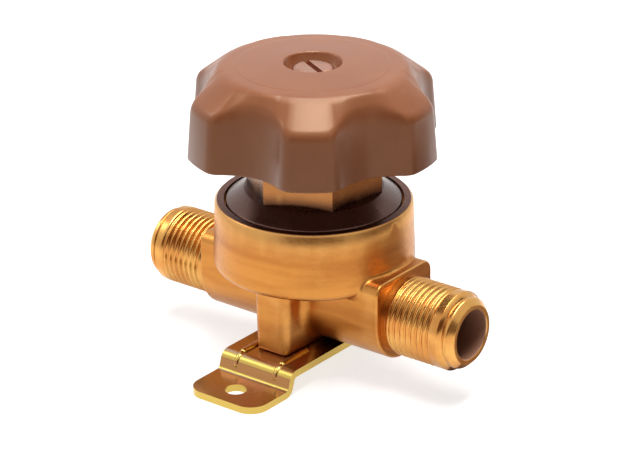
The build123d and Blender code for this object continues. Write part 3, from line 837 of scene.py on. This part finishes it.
finishes = {
    "bonnet": bonnetBrass,
    "clamp_ring": turnedBrass,
    "lower_diaphragm": stainless,
    "middle_diaphragm": stainless,
    "upper_diaphragm": stainless,
    "spindle": turnedBrass,
    "spindle_o_ring": sealRubber,
    "gland_ring": bonnetBrass,
    "thrust_ball": stainless,
    "thrust_pad": turnedBrass,
    "plunger": turnedBrass,
    "seat_disc": seatNylon,
    "spring_seat": stainless,
    "return_spring": stainless,
    "wheel_screw": screwSteel,
    "wheel_washer": screwSteel,
    "bracket": yellowZinc,
    "bracket_screws": zincSteel,
    "bracket_lock_washers": zincSteel,
}
for name, material in finishes.items():
    wear(nodes[name], material)
print("finishes given")


def addCard(name, corners, material):
    # one flat card of the studio
    card = bpy.data.objects.new(name, meshFrom(name, corners, [(0, 1, 2, 3)], smooth=False))
    bpy.context.scene.collection.objects.link(card)
    wear(card, material)
    return card


def cardMaterial(name, colour):
    material, wire, shader = newMaterial(name)
    shader.inputs["Base Color"].default_value = (*colour, 1)
    shader.inputs["Roughness"].default_value = 0.9
    return material, wire, shader


def makeFloor():
    size = studio["floorSize"]
    material, wire, shader = cardMaterial("paleFloor", studio["floorColour"])
    shader.inputs["Emission Color"].default_value = (1, 1, 1, 1)
    rays = wire.add("LightPath")
    seen = wire.maths("MAXIMUM", rays.outputs["Is Camera Ray"], rays.outputs["Is Glossy Ray"])
    seen = wire.maths("MAXIMUM", seen, rays.outputs["Is Transmission Ray"])
    wire.join(wire.maths("MULTIPLY", seen, studio["floorGlow"]), shader.inputs["Emission Strength"])
    corners = [(-size, -size, 0), (size, -size, 0), (size, size, 0), (-size, size, 0)]
    floor = addCard("floor", corners, material)


flags = {
    "colour": (0.15, 0.075, 0.045),
    "distance": 1.25,
    # degrees from the camera's side, width, lowest and highest point
    "frontFlag": (0, 1.9, 0.10, 0.95),
    "rightFlag": (78, 1.5, 0.02, 0.80),
}


def makeFlag(name):
    # a dark upright card round the studio, for the metal to mirror; the camera doesn't see it
    away, width, low, high = flags[name]
    turn = math.radians(studio["azimuth"] + away)
    middle = Vector((math.sin(turn), -math.cos(turn), 0)) * flags["distance"]
    half = Vector((math.cos(turn), math.sin(turn), 0)) * width / 2
    corners = [middle + side * half + Vector((0, 0, height))
               for side, height in ((-1, low), (1, low), (1, high), (-1, high))]
    flag = addCard(name, corners, cardMaterial(name, flags["colour"])[0])
    flag.visible_camera = False
    flag.visible_shadow = False


floorCard = {
    "colour": (0.26, 0.20, 0.17),
    "away": 83,                 # degrees from the camera's side
    "half": 30,                 # degrees to each edge
    "near": 0.046,
    "far": 0.30,
    "lift": 0.0004,
}


def makeFloorCard():
    # a dark card that lies on the floor beside the valve, seen only in the metal
    turn, half = math.radians(studio["azimuth"] + floorCard["away"]), math.radians(floorCard["half"])
    near, far = floorCard["near"], floorCard["far"]
    lift = Vector((0, 0, floorCard["lift"]))
    left, right = turn - half, turn + half
    corners = [Vector((math.sin(angle), -math.cos(angle), 0)) * reach + lift
               for angle, reach in ((left, near), (right, near), (right, far), (left, far))]
    card = addCard("floorCard", corners, cardMaterial("floorCard", floorCard["colour"])[0])
    card.visible_camera = False
    card.visible_shadow = False
    card.visible_diffuse = False


lamps = {
    # place, the height it aims at, width and depth, power
    "keyLamp": ((0.17, -0.22, 1.33), 0.04, 0.50, 12.0),
    "sideLamp": ((-1.0, -0.4, 0.9), 0.04, 0.5, 3.0),
    "topLamp": ((-0.1, 0.35, 1.4), 0.05, 0.9, 20.0),
}


def makeLamp(name):
    place, aimHeight, size, power = lamps[name]
    light = bpy.data.lights.new(name, "AREA")
    light.shape = "RECTANGLE"
    light.size = size
    light.size_y = size
    light.energy = power
    lamp = bpy.data.objects.new(name, light)
    bpy.context.scene.collection.objects.link(lamp)
    lamp.location = place
    lamp.rotation_euler = (Vector((0, 0, aimHeight)) - Vector(place)).to_track_quat("-Z", "Y").to_euler()


def makeCamera():
    camera = bpy.data.objects.new("camera", bpy.data.cameras.new("camera"))
    bpy.context.scene.collection.objects.link(camera)
    camera.data.lens = studio["focalLength"]
    camera.data.sensor_width = 36.0
    camera.data.clip_start = 0.01
    around, above = math.radians(studio["azimuth"]), math.radians(studio["elevation"])
    level = math.cos(above)
    back = Vector((math.sin(around) * level, -math.cos(around) * level, math.sin(above)))
    right = Vector((math.cos(around), math.sin(around), 0))
    up = back.cross(right)
    target = Vector((0, 0, studio["aimHeight"])) + right * studio["aimRight"] + up * studio["aimUp"]
    roll = math.radians(studio["roll"])
    side = right * math.cos(roll) + up * math.sin(roll)
    head = up * math.cos(roll) - right * math.sin(roll)
    turn = Matrix((side, head, back)).transposed().to_4x4()
    turn.translation = target + back * studio["distance"]
    camera.matrix_world = turn
    bpy.context.scene.camera = camera


def makeWorld():
    world = bpy.data.worlds.new("studio")
    bpy.context.scene.world = world
    world.use_nodes = True
    wire = Wiring(world.node_tree)
    background = world.node_tree.nodes["Background"]
    background.inputs["Color"].default_value = (*studio["worldColour"], 1)
    rays = wire.add("LightPath")
    seen = wire.maths("MAXIMUM", rays.outputs["Is Camera Ray"], rays.outputs["Is Transmission Ray"])
    seen = wire.maths("MAXIMUM", seen, rays.outputs["Is Glossy Ray"])
    dim = studio["worldStrength"]
    strength = wire.maths("ADD", wire.maths("MULTIPLY", seen, 1.0 - dim), dim)
    wire.join(strength, background.inputs["Strength"])


makeFloor()
for name in ("frontFlag", "rightFlag"):
    makeFlag(name)
makeFloorCard()
for name in lamps:
    makeLamp(name)
makeWorld()
makeCamera()
bpy.context.scene.view_settings.view_transform = "Standard"
print("studio made")
